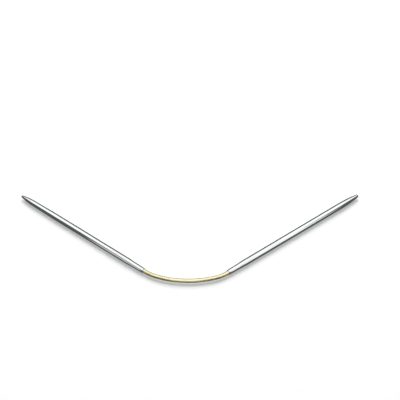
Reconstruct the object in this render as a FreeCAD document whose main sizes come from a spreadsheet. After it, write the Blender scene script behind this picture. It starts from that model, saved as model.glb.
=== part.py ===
import FreeCAD, Part
import math
import os
import re

import Sketcher

# A short fixed circular knitting needle, lying flat: two metal shafts joined by one flexible cord.
# Millimetres and degrees. +Z is up, +X runs along the needle from the left shaft to the right
# shaft, and the V between the shafts opens towards +Y. The origin is on the surface the needle
# lies on, under the middle of the two shafts' box.

SIZES = {
    # both shafts
    "shaft_diameter": 3.25,
    "shaft_wall": 0.35,
    "left_shaft_length": 80.0,
    "right_shaft_length": 84.0,
    # the fine point of the left shaft
    "fine_taper_length": 22.0,
    "fine_nose_length": 8.0,
    "fine_nose_diameter": 2.84,
    "fine_tip_radius": 0.6,
    # the standard point of the right shaft
    "standard_nose_length": 12.0,
    "standard_tip_radius": 0.85,
    # the solid metal behind each tip, and the cone that closes the bore there
    "solid_point_length": 14.0,
    "bore_cone_length": 1.3,
    # the swaged neck that holds the cord: its wall at the mouth, at the lip's end and at the cone
    "mouth_wall": 0.22,
    "lip_length": 1.8,
    "lip_wall": 0.31,
    "neck_length": 7.0,
    "neck_wall": 0.39,
    "neck_cone_length": 3.3,
    # the cord
    "cord_diameter": 2.1,
    "core_diameter": 0.8,
    # the cord's clamped end inside each neck, and the glue behind it
    "jacket_grip_length": 6.0,
    "core_grip_length": 9.0,
    "glue_cap_length": 1.2,
    # free play around the three places where the cord bends
    "bend_gap": 0.2,
}

# The cord's route from the mouth of the left neck to the mouth of the right neck, from above.
# The shafts run straight on from its first and last runs.
ROUTE = [
    (-22.98, -24.85),
    (-20.90, -26.58),
    (-17.40, -28.48),
    (-13.30, -29.98),
    (-8.90, -31.06),
    (-4.30, -31.60),
    (1.20, -31.76),
    (6.00, -31.20),
    (10.60, -30.32),
    (13.90, -29.28),
    (16.70, -27.98),
    (19.09, -26.05),
]
# The middle bend is halfway along the run that starts at this point.
MIDDLE_RUN = 5
# Each arc of the route takes this share of the shorter of its two runs.
ARC_SHARE = 0.45

Vector = FreeCAD.Vector
UP = Vector(0, 0, 1)
ALONG = Vector(1, 0, 0)
ORIGIN, START, END, CENTRE = -1, 1, 2, 3
X_AXIS, Y_AXIS = -1, -2

doc = FreeCAD.newDocument("circular_needle")
sheet = doc.addObject("Spreadsheet::Sheet", "Sizes")
for row, (alias, number) in enumerate(SIZES.items(), start=1):
    sheet.set(f"A{row}", alias)
    sheet.set(f"B{row}", str(number))
    sheet.setAlias(f"B{row}", alias)
doc.recompute()


def in_sheet(formula):
    """The formula with each size's name as the sheet's own cell."""
    return re.sub(r"[a-z]\w+", lambda word: f"Sizes.{word.group()}", formula)


def value(formula):
    """The formula's value now, in millimetres."""
    return float(sheet.evalExpression(in_sheet(formula)))


# ------------------------------------------------------------------ turned pieces
def bind(sketch, kind, ends, formula):
    """Add a constraint of this kind whose size follows the formula."""
    made = sketch.addConstraint(Sketcher.Constraint(kind, *ends, value(formula)))
    sketch.setExpression(f"Constraints[{made}]", in_sheet(formula))


def hold_corner(sketch, piece, end, along, radius):
    """Hold a corner at a distance along the axis and a radius out from it."""
    if along == "0":
        sketch.addConstraint(Sketcher.Constraint("PointOnObject", piece, end, Y_AXIS))
    else:
        bind(sketch, "DistanceX", (ORIGIN, START, piece, end), along)
    if radius == "0":
        sketch.addConstraint(Sketcher.Constraint("PointOnObject", piece, end, X_AXIS))
    else:
        bind(sketch, "DistanceY", (ORIGIN, START, piece, end), radius)


def arc_down(centre, start, end):
    """The clockwise arc about the centre, from the start point to the end point."""
    first, last = (math.atan2(p.y - centre.y, p.x - centre.x) for p in (start, end))
    circle = Part.Circle(centre, UP, centre.distanceToPoint(start))
    return Part.ArcOfCircle(circle, last, first)


def add_point(sketch, before, shoulder, tip, tip_formula):
    """The nose arc, tangent to the line before it, and the round tip, tangent to the nose."""
    tip_radius = value(tip_formula)
    tip_centre = tip - ALONG * tip_radius
    line = sketch.Geometry[before]
    slope = (line.EndPoint - line.StartPoint).normalize()
    inward = Vector(slope.y, -slope.x, 0)
    gap = shoulder - tip_centre
    nose_radius = (tip_radius**2 - gap.dot(gap)) / (2 * (gap.dot(inward) + tip_radius))
    nose_centre = shoulder + inward * nose_radius
    meeting = tip_centre + (tip_centre - nose_centre).normalize() * tip_radius
    nose = sketch.addGeometry(arc_down(nose_centre, shoulder, meeting), False)
    round_tip = sketch.addGeometry(arc_down(tip_centre, meeting, tip), False)
    sketch.addConstraint(Sketcher.Constraint("Tangent", before, END, nose, END))
    sketch.addConstraint(Sketcher.Constraint("Tangent", nose, START, round_tip, END))
    sketch.addConstraint(Sketcher.Constraint("PointOnObject", round_tip, CENTRE, X_AXIS))
    bind(sketch, "Radius", (round_tip,), tip_formula)
    return round_tip


def turned(name, corners, shoulder=None, tip_formula=None):
    """A body turned about the X axis from a closed half outline through the corners.

    From the corner numbered shoulder to the next, the outline is a rounded point."""
    body = doc.addObject("PartDesign::Body", name)
    body.Label = name
    sketch = body.newObject("Sketcher::SketchObject", f"{name}_outline")
    plane = next(p for p in body.Origin.OriginFeatures if p.Role == "XZ_Plane")
    sketch.AttachmentSupport = [(plane, "")]
    sketch.MapMode = "FlatFace"
    places = [Vector(value(along), value(radius), 0) for along, radius in corners]
    following = places[1:] + places[:1]
    ends = []
    for number, (start, end) in enumerate(zip(places, following)):
        if number == shoulder:
            tip_arc = add_point(sketch, ends[-1][0], start, end, tip_formula)
            ends.append((tip_arc, START))
        else:
            line = sketch.addGeometry(Part.LineSegment(start, end), False)
            if ends:
                sketch.addConstraint(Sketcher.Constraint("Coincident", *ends[-1], line, START))
            ends.append((line, END))
    sketch.addConstraint(Sketcher.Constraint("Coincident", *ends[-1], 0, START))
    for (piece, end), corner in zip(ends, corners[1:] + corners[:1]):
        hold_corner(sketch, piece, end, *corner)
    turn = body.newObject("PartDesign::Revolution", f"{name}_turn")
    turn.Profile = sketch
    turn.ReferenceAxis = (sketch, ["H_Axis"])
    turn.Angle = 360.0
    body.Tip = turn
    return body


CORD = "cord_diameter / 2"
CORE = "core_diameter / 2"
SHAFT = "shaft_diameter / 2"
BORE = "shaft_diameter / 2 - shaft_wall"
NECK_END = "neck_length + neck_cone_length"


def shaft(name, length, point):
    """A hollow shaft with a swaged neck at the mouth and a formed, solid point."""
    outside = [
        ("0", CORD),
        ("0", f"{CORD} + mouth_wall"),
        ("lip_length", f"{CORD} + lip_wall"),
        ("neck_length", f"{CORD} + neck_wall"),
        (NECK_END, SHAFT),
    ]
    if point == "fine":
        outside.append((f"{length} - fine_taper_length", SHAFT))
        outside.append((f"{length} - fine_nose_length", "fine_nose_diameter / 2"))
    else:
        outside.append((f"{length} - standard_nose_length", SHAFT))
    shoulder = len(outside) - 1
    inside = [
        (length, "0"),
        (f"{length} - solid_point_length + bore_cone_length", "0"),
        (f"{length} - solid_point_length", BORE),
        (NECK_END, BORE),
        ("neck_length", CORD),
    ]
    return turned(name, outside + inside, shoulder, f"{point}_tip_radius")


def anchored_jacket(name):
    """The end of the cord's jacket, squeezed in the neck."""
    grip = "jacket_grip_length"
    return turned(name, [("0", CORE), ("0", CORD), (grip, CORD), (grip, CORE)])


def anchored_core(name):
    """The end of the cord's core, bare past the jacket and set in the glue."""
    grip = "core_grip_length"
    return turned(name, [("0", "0"), ("0", CORE), (grip, CORE), (grip, "0")])


def glue_plug(name):
    """The glue that fills the neck behind the jacket, round the bare core."""
    return turned(
        name,
        [
            ("jacket_grip_length", CORE),
            ("jacket_grip_length", CORD),
            ("neck_length", CORD),
            (NECK_END, BORE),
            (f"{NECK_END} + glue_cap_length", BORE),
            (f"{NECK_END} + glue_cap_length", "0"),
            ("core_grip_length", "0"),
            ("core_grip_length", CORE),
        ],
    )


# ------------------------------------------------------------------ the cord
def route_arcs(points):
    """One arc for each inner point of the route: its ends, its middle and its radius."""
    arcs = []
    for before, corner, after in zip(points, points[1:], points[2:]):
        back, on = (before - corner), (after - corner)
        cut = ARC_SHARE * min(back.Length, on.Length)
        half_turn = (math.pi - back.getAngle(on)) / 2
        radius = cut / math.tan(half_turn)
        towards_centre = (back.normalize() + on.normalize()).normalize()
        middle = corner + towards_centre * (radius / math.cos(half_turn) - radius)
        arcs.append((corner + back * cut, middle, corner + on * cut, radius))
    return arcs


def cord_path(name, start, arcs, end):
    """Straight runs joined by tangent arcs, from the start point to the end point."""
    edges, place = [], start
    for first, middle, last, _ in arcs:
        edges.append(Part.LineSegment(place, first).toShape())
        edges.append(Part.Arc(first, middle, last).toShape())
        place = last
    edges.append(Part.LineSegment(place, end).toShape())
    path = doc.addObject("Part::Feature", name)
    path.Shape = Part.Wire(edges)
    return path


def facing(place, direction):
    """A placement at this place whose own Z axis points in this direction."""
    return FreeCAD.Placement(place, FreeCAD.Rotation(UP, direction))


def swept(name, path, diameter):
    """A round rod of this diameter along the path."""
    first = path.Shape.Edges[0]
    ring = doc.addObject("Part::Circle", f"{name}_section")
    ring.setExpression("Radius", f"Sizes.{diameter} / 2")
    ring.Placement = facing(first.valueAt(first.FirstParameter), first.tangentAt(first.FirstParameter))
    rod = doc.addObject("Part::Sweep", name)
    rod.Sections = [ring]
    rod.Spine = (path, [f"Edge{number}" for number in range(1, len(path.Shape.Edges) + 1)])
    rod.Solid = True
    return rod


def round_end(name, place, outward):
    """Half a ball of the cord's diameter, flat against the cord's end."""
    dome = doc.addObject("Part::Sphere", name)
    dome.setExpression("Radius", "Sizes.cord_diameter / 2")
    dome.Angle1 = 0.0
    dome.Angle2 = 90.0
    dome.Placement = facing(place, outward)
    return dome


def play_ball(name, place):
    """The space that the rounded end of the next piece of cord turns in."""
    ball = doc.addObject("Part::Sphere", name)
    ball.setExpression("Radius", "Sizes.cord_diameter / 2 + Sizes.bend_gap")
    ball.Placement.Base = place
    return ball


def cut(name, base, tool):
    made = doc.addObject("Part::Cut", name)
    made.Base = base
    made.Tool = tool
    return made


def fused(name, pieces):
    made = doc.addObject("Part::MultiFuse", name)
    made.Shapes = pieces
    return made


# ------------------------------------------------------------------ shafts in their places
def shaft_place(mouth, after):
    """A shaft's placement: its mouth on the route's end, running on from the last run."""
    outward = (mouth - after).normalize()
    turn = FreeCAD.Rotation(ALONG, outward)
    return FreeCAD.Placement(mouth, turn)


left_shaft = shaft("left_shaft", "left_shaft_length", "fine")
right_shaft = shaft("right_shaft", "right_shaft_length", "standard")
left_fittings = [
    anchored_jacket("left_anchored_jacket"),
    anchored_core("left_anchored_core"),
    glue_plug("left_glue_plug"),
]
right_fittings = [
    anchored_jacket("right_anchored_jacket"),
    anchored_core("right_anchored_core"),
    glue_plug("right_glue_plug"),
]
doc.recompute()

axis_height = UP * value(SHAFT)
route = [Vector(x, y, 0) + axis_height for x, y in ROUTE]
left_shaft.Placement = shaft_place(route[0], route[1])
right_shaft.Placement = shaft_place(route[-1], route[-2])
shafts_box = Part.Compound([left_shaft.Shape, right_shaft.Shape]).optimalBoundingBox(False, False)
to_origin = Vector(-shafts_box.Center.x, -shafts_box.Center.y, 0)
route = [place + to_origin for place in route]
for piece in [left_shaft, *left_fittings]:
    piece.Placement = shaft_place(route[0], route[1])
for piece in [right_shaft, *right_fittings]:
    piece.Placement = shaft_place(route[-1], route[-2])

# ------------------------------------------------------------------ the cord in its place
arcs = route_arcs(route)
play = value("cord_diameter / 2 + bend_gap")
left_bend = route[0] + (route[1] - route[0]).normalize() * play
middle_bend = (route[MIDDLE_RUN] + route[MIDDLE_RUN + 1]) / 2
right_bend = route[-1] + (route[-2] - route[-1]).normalize() * play
onward = (route[MIDDLE_RUN + 1] - route[MIDDLE_RUN]).normalize()

left_path = cord_path("left_path", left_bend, arcs[:MIDDLE_RUN], middle_bend)
right_path = cord_path("right_path", middle_bend, arcs[MIDDLE_RUN:], right_bend)

left_cord_core = swept("left_cord_core", left_path, "core_diameter")
left_rod = swept("left_rod", left_path, "cord_diameter")
left_dome = round_end("left_dome", left_bend, (route[0] - route[1]).normalize())
middle_dome = round_end("middle_dome", middle_bend, onward)
left_rod_with_domes = fused("left_rod_with_domes", [left_rod, left_dome, middle_dome])
left_cord_jacket = cut("left_cord_jacket", left_rod_with_domes, left_cord_core)

right_dome = round_end("right_dome", right_bend, (route[-1] - route[-2]).normalize())
right_rod = swept("right_rod", right_path, "cord_diameter")
right_wire = swept("right_wire", right_path, "core_diameter")
right_rod_with_dome = fused("right_rod_with_dome", [right_rod, right_dome])
socket = play_ball("socket", middle_bend)
right_cord_core = cut("right_cord_core", right_wire, socket)
right_rod_past_socket = cut("right_rod_past_socket", right_rod_with_dome, socket)
right_cord_jacket = cut("right_cord_jacket", right_rod_past_socket, right_cord_core)
doc.recompute()

# ------------------------------------------------------------------ checks and files
pieces = [
    left_shaft,
    *left_fittings,
    left_cord_jacket,
    left_cord_core,
    right_cord_jacket,
    right_cord_core,
    right_shaft,
    *right_fittings,
]
faults = []
for thing in doc.Objects:
    if {"Invalid", "Error"} & set(thing.State):
        faults.append(f"{thing.Label}: {thing.State}")
for piece in pieces:
    if piece.Shape.isNull() or not piece.Shape.isValid() or len(piece.Shape.Solids) != 1:
        faults.append(f"{piece.Label}: not one valid solid")
for rod, path, diameter in (
    (left_rod, left_path, "cord_diameter"),
    (right_rod, right_path, "cord_diameter"),
    (left_cord_core, left_path, "core_diameter"),
    (right_wire, right_path, "core_diameter"),
):
    expected = math.pi * value(f"{diameter} / 2") ** 2 * path.Shape.Length
    if abs(rod.Shape.Volume / expected - 1) > 0.001:
        faults.append(f"{rod.Label}: volume {rod.Shape.Volume:.2f}, and {expected:.2f} was expected")
if faults:
    raise SystemExit("\n".join(faults))

print("arc radii:", ", ".join(f"{radius:.1f}" for *_, radius in arcs))
print(f"cord between the necks: {left_path.Shape.Length + right_path.Shape.Length + 2 * play:.2f}")
for label, place in (
    ("left mouth", route[0]),
    ("left bend", left_bend),
    ("middle bend", middle_bend),
    ("right bend", right_bend),
    ("right mouth", route[-1]),
    ("left shaft runs towards", (route[0] - route[1]).normalize()),
    ("right shaft runs towards", (route[-1] - route[-2]).normalize()),
    ("moved to the origin by", to_origin),
):
    print(f"{label}: {place.x:.4f}, {place.y:.4f}, {place.z:.4f}")

os.makedirs("parts", exist_ok=True)
for piece in pieces:
    piece.Shape.exportStep(f"parts/{piece.Label}.step")
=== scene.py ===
import math

import bmesh
import bpy
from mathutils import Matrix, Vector


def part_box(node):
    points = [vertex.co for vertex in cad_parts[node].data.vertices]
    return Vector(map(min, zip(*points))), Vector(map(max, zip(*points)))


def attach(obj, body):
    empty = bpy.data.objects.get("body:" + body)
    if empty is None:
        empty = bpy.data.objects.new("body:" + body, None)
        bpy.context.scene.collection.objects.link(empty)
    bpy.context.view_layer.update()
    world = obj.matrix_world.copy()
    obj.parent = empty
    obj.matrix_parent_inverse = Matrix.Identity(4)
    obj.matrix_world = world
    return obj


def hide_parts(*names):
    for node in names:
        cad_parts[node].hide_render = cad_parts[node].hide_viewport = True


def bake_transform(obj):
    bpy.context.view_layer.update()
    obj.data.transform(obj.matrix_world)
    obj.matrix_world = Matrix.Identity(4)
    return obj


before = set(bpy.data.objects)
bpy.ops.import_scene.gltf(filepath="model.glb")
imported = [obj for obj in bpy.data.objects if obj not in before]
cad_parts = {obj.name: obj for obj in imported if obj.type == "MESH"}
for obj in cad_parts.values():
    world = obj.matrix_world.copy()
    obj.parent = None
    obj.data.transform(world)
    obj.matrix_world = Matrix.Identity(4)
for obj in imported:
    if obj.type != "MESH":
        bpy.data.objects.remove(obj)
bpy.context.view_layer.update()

# A short fixed circular knitting needle lying flat: two nickel-plated shafts and one springy cord.
# Metres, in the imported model's frame: +X along the needle, +Y into the open V, +Z up.

MM = 0.001

# The cord's route from mouth to mouth, as the part has it.
ROUTE = [
    (-0.02298, -0.02485),
    (-0.02090, -0.02658),
    (-0.01740, -0.02848),
    (-0.01330, -0.02998),
    (-0.00890, -0.03106),
    (-0.00430, -0.03160),
    (0.00120, -0.03176),
    (0.00600, -0.03120),
    (0.01060, -0.03032),
    (0.01390, -0.02928),
    (0.01670, -0.02798),
    (0.01909, -0.02605),
]

SHAFT_RADIUS = 1.625 * MM
BORE_RADIUS = 1.275 * MM
LEFT_LENGTH, RIGHT_LENGTH = 80.0 * MM, 84.0 * MM
SOLID_POINT_LENGTH, BORE_CONE_LENGTH = 14.0 * MM, 1.3 * MM
FINE_TAPER_LENGTH, FINE_NOSE_LENGTH, FINE_NOSE_RADIUS = 22.0 * MM, 8.0 * MM, 1.42 * MM
FINE_TIP_RADIUS = 0.6 * MM
STANDARD_NOSE_LENGTH, STANDARD_TIP_RADIUS = 12.0 * MM, 0.85 * MM

CORD_RADIUS = 1.05 * MM
MOUTH_RADIUS = CORD_RADIUS + 0.22 * MM
LIP_LENGTH, LIP_RADIUS = 1.8 * MM, CORD_RADIUS + 0.31 * MM
NECK_LENGTH, NECK_RADIUS = 7.0 * MM, CORD_RADIUS + 0.39 * MM
NECK_CONE_LENGTH = 3.3 * MM
NECK_END = NECK_LENGTH + NECK_CONE_LENGTH

UP = Vector((0, 0, 1))
AXIS_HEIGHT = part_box("left_shaft")[0][2] + SHAFT_RADIUS
route = [Vector((x, y, AXIS_HEIGHT)) for x, y in ROUTE]


# ------------------------------------------------------------------ camera
CAMERA_ELEVATION = math.radians(46.7)
CAMERA_DISTANCE = 4.0
VIEW_WIDTH = 0.2009
AIM = Vector((0.0051, 0.0236, AXIS_HEIGHT))
SENSOR_WIDTH = 36.0
CLIP_NEAR, CLIP_FAR = 0.05, 20.0


def make_camera():
    """A distant camera that looks down into the open V from the cord's side."""
    data = bpy.data.cameras.new("camera")
    camera = new_object("camera", data)
    back = Vector((0.0, -math.cos(CAMERA_ELEVATION), math.sin(CAMERA_ELEVATION)))
    camera.location = AIM + back * CAMERA_DISTANCE
    camera.rotation_euler = (-back).to_track_quat("-Z", "Y").to_euler()
    data.sensor_width = SENSOR_WIDTH
    data.lens = data.sensor_width * CAMERA_DISTANCE / VIEW_WIDTH
    data.clip_start, data.clip_end = CLIP_NEAR, CLIP_FAR
    bpy.context.scene.camera = camera


def new_object(name, data):
    """An object of the data, at the origin and in the scene."""
    made = bpy.data.objects.new(name, data)
    bpy.context.scene.collection.objects.link(made)
    return made


make_camera()


# ------------------------------------------------------------------ finishes
RELIEF_STRENGTH = 0.6


def new_finish(name, metallic=0.0):
    """A material, its shader, and the calls that add a node and link two sockets."""
    material = bpy.data.materials.new(name)
    material.use_nodes = True
    shader = material.node_tree.nodes["Principled BSDF"]
    shader.inputs["Metallic"].default_value = metallic
    return material, shader, material.node_tree.nodes.new, material.node_tree.links.new


def scaled_place(new, link, place, scale):
    """The place with each of its three directions counted at its own scale, per metre."""
    mapping = new("ShaderNodeMapping")
    mapping.inputs["Scale"].default_value = scale
    link(place, mapping.inputs["Vector"])
    return mapping.outputs["Vector"]


def grain(new, link, place, scale, detail=2.0):
    """Soft noise from 0 to 1 over the scaled place."""
    noise = new("ShaderNodeTexNoise")
    noise.inputs["Scale"].default_value = 1.0
    noise.inputs["Detail"].default_value = detail
    link(scaled_place(new, link, place, scale), noise.inputs["Vector"])
    return noise.outputs["Fac"]


def tinted(new, link, share, pale, deep, low=0.3, high=0.7):
    """A colour between two tones, by a share that is spread from low to high."""
    ramp = new("ShaderNodeValToRGB")
    ramp.color_ramp.elements[0].position, ramp.color_ramp.elements[1].position = low, high
    ramp.color_ramp.elements[0].color, ramp.color_ramp.elements[1].color = (*pale, 1), (*deep, 1)
    link(share, ramp.inputs["Fac"])
    return ramp.outputs["Color"]


def ranged(new, link, share, low, high, source=(0.3, 0.7)):
    """A number from low to high as the share goes across its source range."""
    span = new("ShaderNodeMapRange")
    span.inputs["From Min"].default_value, span.inputs["From Max"].default_value = source
    span.inputs["To Min"].default_value, span.inputs["To Max"].default_value = low, high
    link(share, span.inputs["Value"])
    return span.outputs["Result"]


def combined(new, link, operation, first, second):
    """One number from two, each a socket or a constant."""
    maths = new("ShaderNodeMath")
    maths.operation = operation
    for socket, value in zip(maths.inputs, (first, second)):
        if isinstance(value, float):
            socket.default_value = value
        else:
            link(value, socket)
    return maths.outputs["Value"]


def own_place(new, name):
    """The piece's own unrolled place: along it, across it and up, in metres."""
    attribute = new("ShaderNodeAttribute")
    attribute.attribute_name = name
    return attribute.outputs["Vector"]


def add_relief(new, link, shader, height, distance):
    """Fine surface relief whose full height is the distance, in metres."""
    bump = new("ShaderNodeBump")
    bump.inputs["Strength"].default_value = RELIEF_STRENGTH
    bump.inputs["Distance"].default_value = distance
    link(height, bump.inputs["Height"])
    link(bump.outputs["Normal"], shader.inputs["Normal"])


def nickel_plate():
    """Bright nickel over brass: lengthwise polishing lines, handling haze and swaging rings."""
    material, shader, new, link = new_finish("polished_nickel_plate", metallic=1.0)
    place = own_place(new, "stock_place")
    lines = grain(new, link, place, (60.0, 2600.0, 2600.0), detail=1.0)
    haze = grain(new, link, place, (110.0, 260.0, 260.0))
    parts = new("ShaderNodeSeparateXYZ")
    link(place, parts.inputs["Vector"])
    neck = ranged(new, link, parts.outputs["X"], 1.0, 0.0, (NECK_END - MM, NECK_END + 1.5 * MM))
    rings = grain(new, link, place, (3400.0, 60.0, 60.0))
    neck_rings = combined(new, link, "MULTIPLY", rings, neck)
    link(
        tinted(new, link, haze, (0.66, 0.68, 0.68), (0.60, 0.61, 0.60)),
        shader.inputs["Base Color"],
    )
    relief = combined(new, link, "ADD", lines, neck_rings)
    hazed = ranged(new, link, haze, 0.03, 0.08)
    lined = ranged(new, link, lines, 0.03, 0.08)
    polish = combined(new, link, "ADD", hazed, lined)
    dulled = combined(new, link, "MULTIPLY", neck_rings, 0.08)
    link(combined(new, link, "ADD", polish, dulled), shader.inputs["Roughness"])
    add_relief(new, link, shader, relief, 0.0005 * MM)
    return material


def gold_cord():
    """Nylon with a pale gold pearl pigment, drawn through a die: faint lengthwise streaks."""
    material, shader, new, link = new_finish("pale_gold_nylon", metallic=0.8)
    place = own_place(new, "stock_place")
    streaks = grain(new, link, place, (45.0, 3800.0, 3800.0), detail=3.0)
    clouds = grain(new, link, place, (240.0, 420.0, 420.0))
    mixed = combined(new, link, "ADD", streaks, clouds)
    halved = combined(new, link, "MULTIPLY", mixed, 0.5)
    link(
        tinted(new, link, halved, (0.78, 0.705, 0.42), (0.70, 0.62, 0.34), 0.38, 0.62),
        shader.inputs["Base Color"],
    )
    link(ranged(new, link, clouds, 0.2, 0.3), shader.inputs["Roughness"])
    shader.inputs["Coat Weight"].default_value = 0.35
    shader.inputs["Coat Roughness"].default_value = 0.1
    shader.inputs["IOR"].default_value = 1.52
    add_relief(new, link, shader, streaks, 0.006 * MM)
    return material


def steel_strand():
    """Thin stranded stainless wire, its strands laid on a slant."""
    material, shader, new, link = new_finish("stranded_steel", metallic=1.0)
    where = new("ShaderNodeTexCoord").outputs["Object"]
    strands = new("ShaderNodeTexWave")
    strands.wave_type, strands.bands_direction = "BANDS", "DIAGONAL"
    strands.inputs["Scale"].default_value = 900.0
    strands.inputs["Distortion"].default_value = 0.4
    link(where, strands.inputs["Vector"])
    tarnish = grain(new, link, where, (700.0, 700.0, 700.0))
    link(
        tinted(new, link, tarnish, (0.56, 0.57, 0.58), (0.44, 0.44, 0.44)),
        shader.inputs["Base Color"],
    )
    link(ranged(new, link, tarnish, 0.28, 0.42), shader.inputs["Roughness"])
    add_relief(new, link, shader, strands.outputs["Fac"], 0.05 * MM)
    return material


def set_glue():
    """Hard amber glue with small cloudy spots."""
    material, shader, new, link = new_finish("set_amber_glue")
    where = new("ShaderNodeTexCoord").outputs["Object"]
    clouds = grain(new, link, where, (1400.0, 1400.0, 1400.0), detail=3.0)
    link(
        tinted(new, link, clouds, (0.62, 0.44, 0.17), (0.47, 0.30, 0.10)),
        shader.inputs["Base Color"],
    )
    link(ranged(new, link, clouds, 0.28, 0.45), shader.inputs["Roughness"])
    shader.inputs["IOR"].default_value = 1.55
    add_relief(new, link, shader, clouds, 0.02 * MM)
    return material


NICKEL = nickel_plate()
NYLON = gold_cord()
STRAND = steel_strand()
GLUE = set_glue()


def refinish(node, finish):
    """The CAD node keeps its shape and takes the finish."""
    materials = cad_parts[node].data.materials
    materials.clear()
    materials.append(finish)


for side in ("left", "right"):
    refinish(f"{side}_anchored_core", STRAND)
    refinish(f"{side}_glue_plug", GLUE)


# ------------------------------------------------------------------ round stock
SHAFT_STEPS, CORD_STEPS = 96, 64
MERGE_DISTANCE = 0.001 * MM


def round_stock_tree():
    """Rings of points about each station, joined into one closed skin with its own place stored.

    The input mesh holds one point for each station, with the attributes radius, side and along.
    """
    tree = bpy.data.node_groups.new("round_stock", "GeometryNodeTree")
    for name, kind in (
        ("Stations", "NodeSocketGeometry"),
        ("Steps Around", "NodeSocketInt"),
        ("Merge Distance", "NodeSocketFloat"),
        ("Finish", "NodeSocketMaterial"),
    ):
        tree.interface.new_socket(name, in_out="INPUT", socket_type=kind)
    tree.interface.new_socket("Stock", in_out="OUTPUT", socket_type="NodeSocketGeometry")
    new, link = tree.nodes.new, tree.links.new
    given, made = new("NodeGroupInput"), new("NodeGroupOutput")

    def number(operation, *values):
        """One number from others, each a socket or a constant."""
        maths = new("ShaderNodeMath")
        maths.operation = operation
        for socket, value in zip(maths.inputs, values):
            if isinstance(value, (int, float)):
                socket.default_value = value
            else:
                link(value, socket)
        return maths.outputs["Value"]

    def at_station(kind, name=None):
        """The station's own value of an attribute, or its position, at each ring point."""
        if name:
            value = new("GeometryNodeInputNamedAttribute")
            value.data_type = kind
            value.inputs["Name"].default_value = name
            value = value.outputs["Attribute"]
        else:
            value = new("GeometryNodeInputPosition").outputs["Position"]
        sample = new("GeometryNodeSampleIndex")
        sample.data_type, sample.domain = kind, "POINT"
        link(given.outputs["Stations"], sample.inputs["Geometry"])
        link(value, sample.inputs["Value"])
        link(station, sample.inputs["Index"])
        return sample.outputs["Value"]

    def stretched(direction, amount):
        """The direction at the length that a socket gives."""
        scale = new("ShaderNodeVectorMath")
        scale.operation = "SCALE"
        link(direction, scale.inputs[0])
        link(amount, scale.inputs["Scale"])
        return scale.outputs["Vector"]

    def added(first, second):
        """The sum of two places or directions."""
        total = new("ShaderNodeVectorMath")
        total.operation = "ADD"
        link(first, total.inputs[0])
        link(second, total.inputs[1])
        return total.outputs["Vector"]

    def vector(x, y, z):
        """A place from three numbers, each a socket or a constant."""
        joined = new("ShaderNodeCombineXYZ")
        for socket, value in zip(joined.inputs, (x, y, z)):
            if isinstance(value, float):
                socket.default_value = value
            else:
                link(value, socket)
        return joined.outputs["Vector"]

    count = new("GeometryNodeAttributeDomainSize")
    link(given.outputs["Stations"], count.inputs["Geometry"])
    steps = given.outputs["Steps Around"]
    row = number("ADD", steps, 1)
    grid = new("GeometryNodeMeshGrid")
    link(count.outputs["Point Count"], grid.inputs["Vertices X"])
    link(row, grid.inputs["Vertices Y"])
    index = new("GeometryNodeInputIndex").outputs["Index"]
    station = number("FLOOR", number("DIVIDE", index, row))
    angle = number("MULTIPLY", number("DIVIDE", number("MODULO", index, row), steps), math.tau)
    radius = at_station("FLOAT", "radius")
    across = number("MULTIPLY", radius, number("COSINE", angle))
    upward = number("MULTIPLY", radius, number("SINE", angle))
    sideways = stretched(at_station("FLOAT_VECTOR", "side"), across)
    ring_place = added(added(at_station("FLOAT_VECTOR"), sideways), vector(0.0, 0.0, upward))
    rings = new("GeometryNodeSetPosition")
    link(grid.outputs["Mesh"], rings.inputs["Geometry"])
    link(ring_place, rings.inputs["Position"])
    store = new("GeometryNodeStoreNamedAttribute")
    store.data_type, store.domain = "FLOAT_VECTOR", "POINT"
    store.inputs["Name"].default_value = "stock_place"
    link(rings.outputs["Geometry"], store.inputs["Geometry"])
    link(vector(at_station("FLOAT", "along"), across, upward), store.inputs["Value"])
    merge = new("GeometryNodeMergeByDistance")
    link(store.outputs["Geometry"], merge.inputs["Geometry"])
    link(given.outputs["Merge Distance"], merge.inputs["Distance"])
    smooth = new("GeometryNodeSetShadeSmooth")
    link(merge.outputs["Geometry"], smooth.inputs["Geometry"])
    realize = new("GeometryNodeRealizeInstances")
    link(smooth.outputs["Geometry"], realize.inputs["Geometry"])
    coat = new("GeometryNodeSetMaterial")
    link(realize.outputs["Geometry"], coat.inputs["Geometry"])
    link(given.outputs["Finish"], coat.inputs["Material"])
    link(coat.outputs["Geometry"], made.inputs["Stock"])
    return tree


ROUND_STOCK = round_stock_tree()
ROUND_STOCK_INPUTS = {
    item.name: item.identifier
    for item in ROUND_STOCK.interface.items_tree
    if item.in_out == "INPUT"
}


def round_stock(name, stations, finish, steps=SHAFT_STEPS):
    """A closed round piece through stations of (centre, side, radius, along)."""
    points = bpy.data.meshes.new(f"{name}_stations")
    points.from_pydata([station[0] for station in stations], [], [])
    kept = {
        "side": [axis for station in stations for axis in station[1]],
        "radius": [station[2] for station in stations],
        "along": [station[3] for station in stations],
    }
    for label, kind in (("side", "FLOAT_VECTOR"), ("radius", "FLOAT"), ("along", "FLOAT")):
        attribute = points.attributes.new(label, kind, "POINT")
        attribute.data.foreach_set("vector" if label == "side" else "value", kept[label])
    piece = new_object(name, points)
    modifier = piece.modifiers.new("round_stock", "NODES")
    modifier.node_group = ROUND_STOCK
    modifier[ROUND_STOCK_INPUTS["Steps Around"]] = steps
    modifier[ROUND_STOCK_INPUTS["Merge Distance"]] = MERGE_DISTANCE
    modifier[ROUND_STOCK_INPUTS["Finish"]] = finish
    bpy.context.view_layer.update()
    seen = bpy.context.evaluated_depsgraph_get()
    skin = bpy.data.meshes.new_from_object(
        piece.evaluated_get(seen), preserve_all_data_layers=True, depsgraph=seen
    )
    piece.modifiers.remove(modifier)
    piece.data = skin
    bpy.data.meshes.remove(points)
    skin.name = name
    build = bmesh.new()
    build.from_mesh(skin)
    bmesh.ops.recalc_face_normals(build, faces=build.faces)
    build.to_mesh(skin)
    build.free()
    return piece


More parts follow.
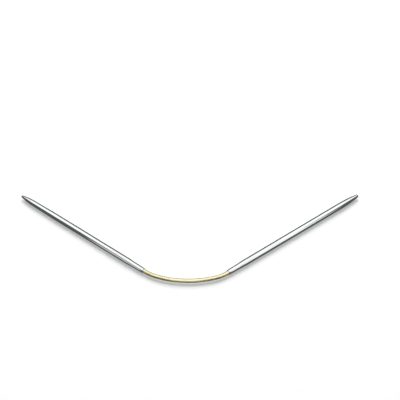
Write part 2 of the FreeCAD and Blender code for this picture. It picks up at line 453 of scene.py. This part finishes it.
# ------------------------------------------------------------------ shafts
NOSE_STEPS, TIP_STEPS, CORNER_STEPS = 40, 20, 6
CORNER_REACH, CORNER_SHARE = 1.2 * MM, 0.45


def arc_points(centre, start, end, steps):
    """Points of the clockwise arc about the centre from start to end, without its start."""
    first = math.atan2(start[1] - centre[1], start[0] - centre[0])
    last = math.atan2(end[1] - centre[1], end[0] - centre[0])
    radius = math.hypot(start[0] - centre[0], start[1] - centre[1])
    angles = [first + (last - first) * step / steps for step in range(1, steps + 1)]
    return [(centre[0] + radius * math.cos(a), centre[1] + radius * math.sin(a)) for a in angles]


def point_outline(before, shoulder, length, tip_radius):
    """The nose arc, tangent to the run before the shoulder, then the round tip."""
    slope = (Vector(shoulder) - Vector(before)).normalized()
    inward = Vector((slope.y, -slope.x))
    tip_centre = Vector((length - tip_radius, 0.0))
    gap = Vector(shoulder) - tip_centre
    nose_radius = (tip_radius**2 - gap.dot(gap)) / (2 * (gap.dot(inward) + tip_radius))
    nose_centre = Vector(shoulder) + inward * nose_radius
    meeting = tip_centre + (tip_centre - nose_centre).normalized() * tip_radius
    nose = arc_points(nose_centre, shoulder, meeting, NOSE_STEPS)
    tip = arc_points(tip_centre, meeting, (length, 0.0), TIP_STEPS)
    return nose + tip[:-1] + [(length, 0.0)]


def eased(outline):
    """The outline with each inner corner worn round, as a polished edge is."""
    made = [outline[0]]
    for before, corner, after in zip(outline, outline[1:], outline[2:]):
        before, corner, after = Vector(before), Vector(corner), Vector(after)
        back, on = before - corner, after - corner
        cut = min(CORNER_SHARE * back.length, CORNER_SHARE * on.length, CORNER_REACH)
        start, end = corner + back.normalized() * cut, corner + on.normalized() * cut
        for step in range(CORNER_STEPS + 1):
            t = step / CORNER_STEPS
            place = start * (1 - t) ** 2 + corner * 2 * t * (1 - t) + end * t**2
            made.append((place.x, place.y))
    return made + [outline[-1]]


def shaft_outline(length, point):
    """(along, radius) from the bore's inner end, out at the mouth and on to the point."""
    bore_end = length - SOLID_POINT_LENGTH
    outline = [
        (bore_end + BORE_CONE_LENGTH, 0.0),
        (bore_end, BORE_RADIUS),
        (NECK_END, BORE_RADIUS),
        (NECK_LENGTH, CORD_RADIUS),
        (0.0, CORD_RADIUS),
        (0.0, MOUTH_RADIUS),
        (LIP_LENGTH, LIP_RADIUS),
        (NECK_LENGTH, NECK_RADIUS),
        (NECK_END, SHAFT_RADIUS),
    ]
    if point == "fine":
        outline.append((length - FINE_TAPER_LENGTH, SHAFT_RADIUS))
        outline.append((length - FINE_NOSE_LENGTH, FINE_NOSE_RADIUS))
        tip_radius = FINE_TIP_RADIUS
    else:
        outline.append((length - STANDARD_NOSE_LENGTH, SHAFT_RADIUS))
        tip_radius = STANDARD_TIP_RADIUS
    return eased(outline) + point_outline(outline[-2], outline[-1], length, tip_radius)


def make_shaft(name, length, point, mouth, after, body):
    """A hollow shaft that runs on from the cord's end."""
    outward = (mouth - after).normalized()
    side = UP.cross(outward)
    outline = shaft_outline(length, point)
    stations = [(mouth + outward * along, side, radius, along) for along, radius in outline]
    shaft = round_stock(name, stations, NICKEL)
    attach(shaft, body)
    return shaft


left = make_shaft("polished_left_shaft", LEFT_LENGTH, "fine", route[0], route[1], "left_needle")
right = make_shaft(
    "polished_right_shaft", RIGHT_LENGTH, "standard", route[-1], route[-2], "right_needle"
)
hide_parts("left_shaft")
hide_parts("right_shaft")


# ------------------------------------------------------------------ cord
# How far each root runs into its neck, how far past the mouth the free cord starts, and how far
# out the root goes. Its last stretch lies over the free cord's round end, and the swell keeps the
# two skins apart.
ANCHOR_DEPTH = 3.0 * MM
JOIN_BLEND = 2.4 * MM
ROOT_REACH = 3.4 * MM
ROOT_SWELL = 1.002
CURVE_STEPS = 24
ROUNDING = 1e-9


def smooth_line(points):
    """The points of a smooth curve steered by the given points."""
    data = bpy.data.curves.new("route", "CURVE")
    data.dimensions = "3D"
    spline = data.splines.new("NURBS")
    spline.points.add(len(points) - 1)
    for point, place in zip(spline.points, points):
        point.co = (*place, 1)
    spline.order_u = 3
    spline.use_endpoint_u = True
    spline.resolution_u = CURVE_STEPS
    holder = new_object("route", data)
    bpy.context.view_layer.update()
    line = bpy.data.meshes.new_from_object(holder)
    places = [vertex.co.copy() for vertex in line.vertices]
    bpy.data.objects.remove(holder)
    bpy.data.curves.remove(data)
    bpy.data.meshes.remove(line)
    return places


def stations_along(line):
    """A station of the cord's radius at each point of a flat line, counted from its start."""
    stations, along = [], 0.0
    for index, place in enumerate(line):
        before, after = line[max(index - 1, 0)], line[min(index + 1, len(line) - 1)]
        if index:
            along += (place - before).length
        side = UP.cross((after - before).normalized())
        stations.append((place, side, CORD_RADIUS, along))
    return stations


def domed(stations, swell=1.0, steps=10):
    """The stations with a round end before the first and after the last."""
    ends = []
    for (place, side, radius, along), sign in ((stations[0], -1), (stations[-1], 1)):
        heading = side.cross(UP) * sign
        dome = []
        for step in range(1, steps + 1):
            angle = math.pi / 2 * step / steps
            reach = radius * swell * math.sin(angle)
            ring = radius * swell * math.cos(angle) if step < steps else 0.0
            dome.append((place + heading * reach, side, ring, along + sign * reach))
        ends.append(dome)
    body = [(place, side, radius * swell, along) for place, side, radius, along in stations]
    return list(reversed(ends[0])) + body + ends[1]


line = smooth_line(route)
left_outward = (route[0] - route[1]).normalized()
right_outward = (route[-1] - route[-2]).normalized()
left_inside = route[0] + left_outward * ANCHOR_DEPTH
right_inside = route[-1] + right_outward * ANCHOR_DEPTH
whole = stations_along([left_inside] + line + [right_inside])
left_mouth, right_mouth = whole[1][3], whole[-2][3]


def stretch(start, end):
    """The cord's stations whose distance along it is between start and end."""
    return [station for station in whole if start - ROUNDING <= station[3] <= end + ROUNDING]


free_stations = domed(stretch(left_mouth + JOIN_BLEND, right_mouth - JOIN_BLEND))
cord = round_stock("cord", free_stations, NYLON, CORD_STEPS)
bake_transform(cord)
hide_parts("left_cord_jacket", "right_cord_jacket", "left_cord_core", "right_cord_core")


def make_root(name, start, end):
    """The cord's end: held in the neck, then bending with the cord over its first stretch."""
    root = round_stock(name, domed(stretch(start, end), ROOT_SWELL), NYLON, CORD_STEPS)
    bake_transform(root)
    return root


left_root = make_root(
    "left_cord_root",
    left_mouth - ANCHOR_DEPTH,
    left_mouth + ROOT_REACH,
)
right_root = make_root(
    "right_cord_root",
    right_mouth - ROOT_REACH,
    right_mouth + ANCHOR_DEPTH,
)
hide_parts("left_anchored_jacket")
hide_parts("right_anchored_jacket")


# ------------------------------------------------------------------ floor and light
FLOOR_HALF = 3.0
FLOOR_TONE, FLOOR_GLOW = (0.52, 0.52, 0.52, 1), 0.4
DOME_EDGE = (0.60, 0.74)
DOME_TONE, ROOM_TONE = (1.0, 1.0, 1.0, 1), (0.075, 0.085, 0.085, 1)
DOME_LIGHT, FILL_LIGHT, BACKDROP_LIGHT = 1.58, 0.15, 0.95
KEY_PLACE, KEY_AIM = (0.0, 1.30, 1.42), (0, 0, 0)
KEY_SIZE, KEY_RADIANCE = (1.6, 1.6), 8.3
# Each card's name, place, aim, size and radiance.
CARDS = (
    ("left_card", (-0.209, -0.1006, 0.027), (-0.0281, -0.0194, 0.0016), (0.048, 0.2), 0.6),
    ("right_card", (0.2026, -0.0879, 0.078), (0.0336, -0.0143, 0.0016), (0.08, 0.15), 1.25),
    ("front_card", (-0.001, -0.174, 0.05), (-0.001, -0.031, 0.0016), (0.12, 0.1), 0.6),
)


def make_floor():
    """A plain pale floor with a glow of its own, which the metal doesn't mirror."""
    mesh = bpy.data.meshes.new("floor")
    half = FLOOR_HALF
    corners = [(-half, -half, 0), (half, -half, 0), (half, half, 0), (-half, half, 0)]
    mesh.from_pydata(corners, [], [(0, 1, 2, 3)])
    floor = new_object("floor", mesh)
    floor.visible_glossy = False
    material, shader, _, _ = new_finish("lit_paper")
    shader.inputs["Base Color"].default_value = FLOOR_TONE
    shader.inputs["Roughness"].default_value = 1.0
    shader.inputs["Specular IOR Level"].default_value = 0.0
    shader.inputs["Emission Color"].default_value = (1, 1, 1, 1)
    shader.inputs["Emission Strength"].default_value = FLOOR_GLOW
    mesh.materials.append(material)


def area_light(name, place, aim, size, radiance):
    """A rectangular lamp of an even radiance, out of the camera's sight."""
    data = bpy.data.lights.new(name, "AREA")
    data.shape = "RECTANGLE"
    data.size, data.size_y = size
    data.energy = radiance * math.pi * size[0] * size[1]
    lamp = new_object(name, data)
    lamp.location = place
    lamp.rotation_euler = (Vector(aim) - Vector(place)).to_track_quat("-Z", "Y").to_euler()
    lamp.visible_camera = False
    return lamp


def key_light():
    """The large soft light behind the needle, which the metal doesn't mirror."""
    lamp = area_light("key_light", KEY_PLACE, KEY_AIM, KEY_SIZE, KEY_RADIANCE)
    lamp.visible_glossy = False


def reflector(name, place, aim, size, radiance):
    """A card that only shows in polished surfaces."""
    card = area_light(name, place, aim, size, radiance)
    card.visible_diffuse = False


def make_dome():
    """A round light overhead for shine, a dim fill for the rest, and a plain pale backdrop."""
    world = bpy.data.worlds.new("studio")
    world.use_nodes = True
    tree = world.node_tree
    tree.nodes.clear()
    new, link = tree.nodes.new, tree.links.new
    heading = new("ShaderNodeSeparateXYZ")
    edge = new("ShaderNodeMapRange")
    edge.interpolation_type = "SMOOTHSTEP"
    edge.inputs["From Min"].default_value, edge.inputs["From Max"].default_value = DOME_EDGE
    tone = new("ShaderNodeMix")
    tone.data_type = "RGBA"
    tone.inputs["A"].default_value, tone.inputs["B"].default_value = ROOM_TONE, DOME_TONE
    dome, fill, backdrop = (new("ShaderNodeBackground") for _ in range(3))
    for light, strength in ((dome, DOME_LIGHT), (fill, FILL_LIGHT), (backdrop, BACKDROP_LIGHT)):
        light.inputs["Color"].default_value = DOME_TONE
        light.inputs["Strength"].default_value = strength
    ray = new("ShaderNodeLightPath")
    shine, seen = new("ShaderNodeMixShader"), new("ShaderNodeMixShader")
    output = new("ShaderNodeOutputWorld")
    link(new("ShaderNodeTexCoord").outputs["Generated"], heading.inputs["Vector"])
    link(heading.outputs["Z"], edge.inputs["Value"])
    link(edge.outputs["Result"], tone.inputs["Factor"])
    link(tone.outputs["Result"], dome.inputs["Color"])
    link(ray.outputs["Is Glossy Ray"], shine.inputs["Fac"])
    link(fill.outputs["Background"], shine.inputs[1])
    link(dome.outputs["Background"], shine.inputs[2])
    link(ray.outputs["Is Camera Ray"], seen.inputs["Fac"])
    link(shine.outputs["Shader"], seen.inputs[1])
    link(backdrop.outputs["Background"], seen.inputs[2])
    link(seen.outputs["Shader"], output.inputs["Surface"])
    bpy.context.scene.world = world


make_floor()
make_dome()
key_light()
for card in CARDS:
    reflector(*card)
bpy.context.scene.view_settings.view_transform = "Standard"
